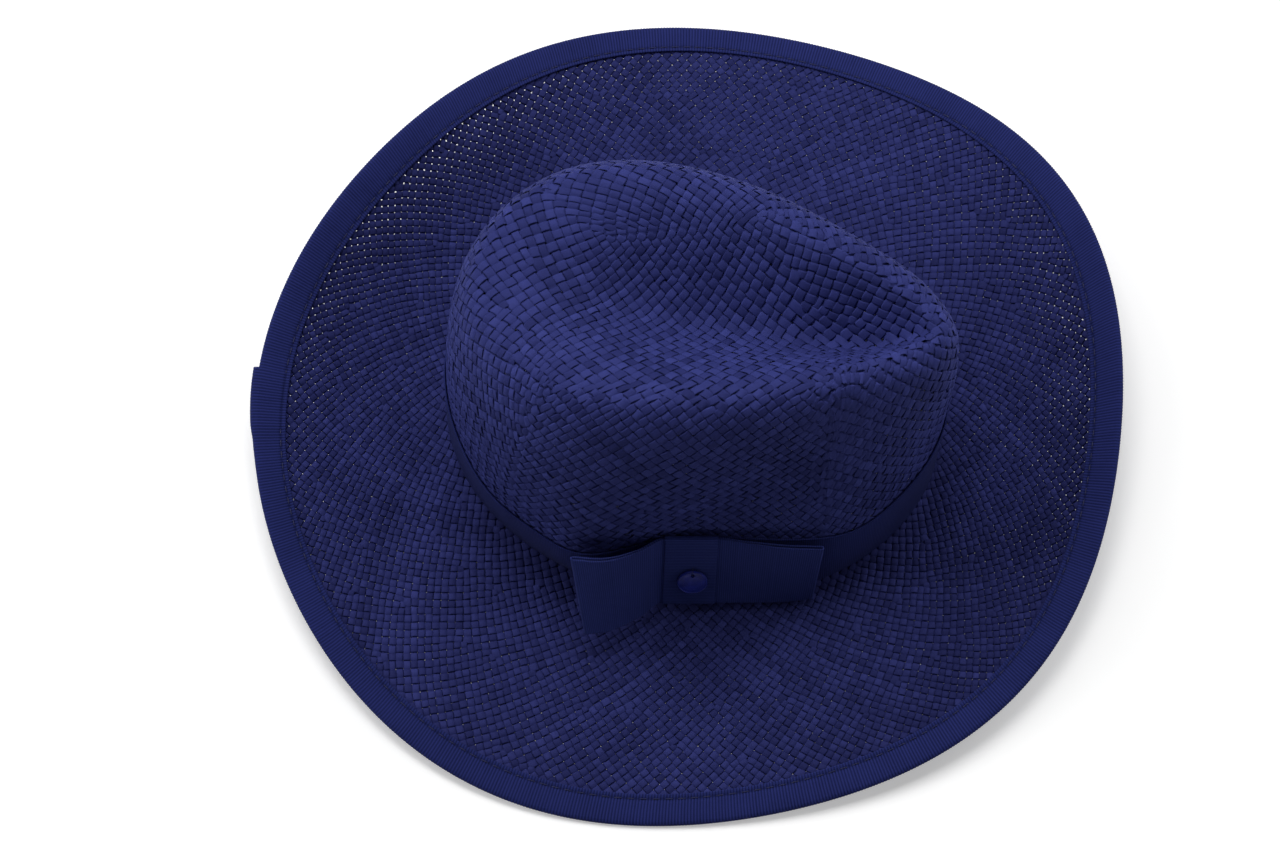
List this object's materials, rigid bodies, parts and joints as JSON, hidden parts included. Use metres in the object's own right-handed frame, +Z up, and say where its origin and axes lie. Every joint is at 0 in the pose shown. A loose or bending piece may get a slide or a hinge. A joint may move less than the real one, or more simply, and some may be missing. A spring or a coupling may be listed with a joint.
{
  "type": "sun hat",
  "caption": "Wide-brimmed woven straw sun hat with a creased, side-pinched crown, grosgrain hatband, bow with a hanging disc charm, and a bound brim edge.",
  "frame": {"origin": "centre of the head opening, in the plane where the crown meets the brim", "axes": "+X towards the front of the hat, +Y towards the wearer's left, +Z up through the crown; the bow is on the wearer's right"},
  "size_m": [0.3509, 0.3659, 0.1201],
  "materials": {
    "straw": "woven paper straw, dyed indigo",
    "wire": "drawn wire",
    "grosgrain": "ribbed grosgrain, dark indigo",
    "thread": "twisted sewing thread",
    "sweatband": "plain woven tape",
    "tag": "satin tape, blank",
    "charm": "glossy enamel"
  },
  "bodies": {
    "hat": {"straw_body": "straw", "brim_wire": "wire", "brim_binding": "grosgrain", "binding_stitching": "thread", "hatband": "grosgrain", "sweatband": "sweatband", "sweatband_stitching": "thread", "size_tag": "tag", "bow_ribbon": "grosgrain", "bow_knot": "grosgrain", "charm_thread": "thread"},
    "charm": {"charm_disc": "charm"}
  },
  "joints": [
    {"name": "charm_swing", "type": "hinge", "parent": "hat", "child": "charm", "pos_m": [0.01089, -0.0784, 0.02346], "axis": [-0.986, -0.162, 0.0385], "range_deg": [0, 100]}
  ]
}
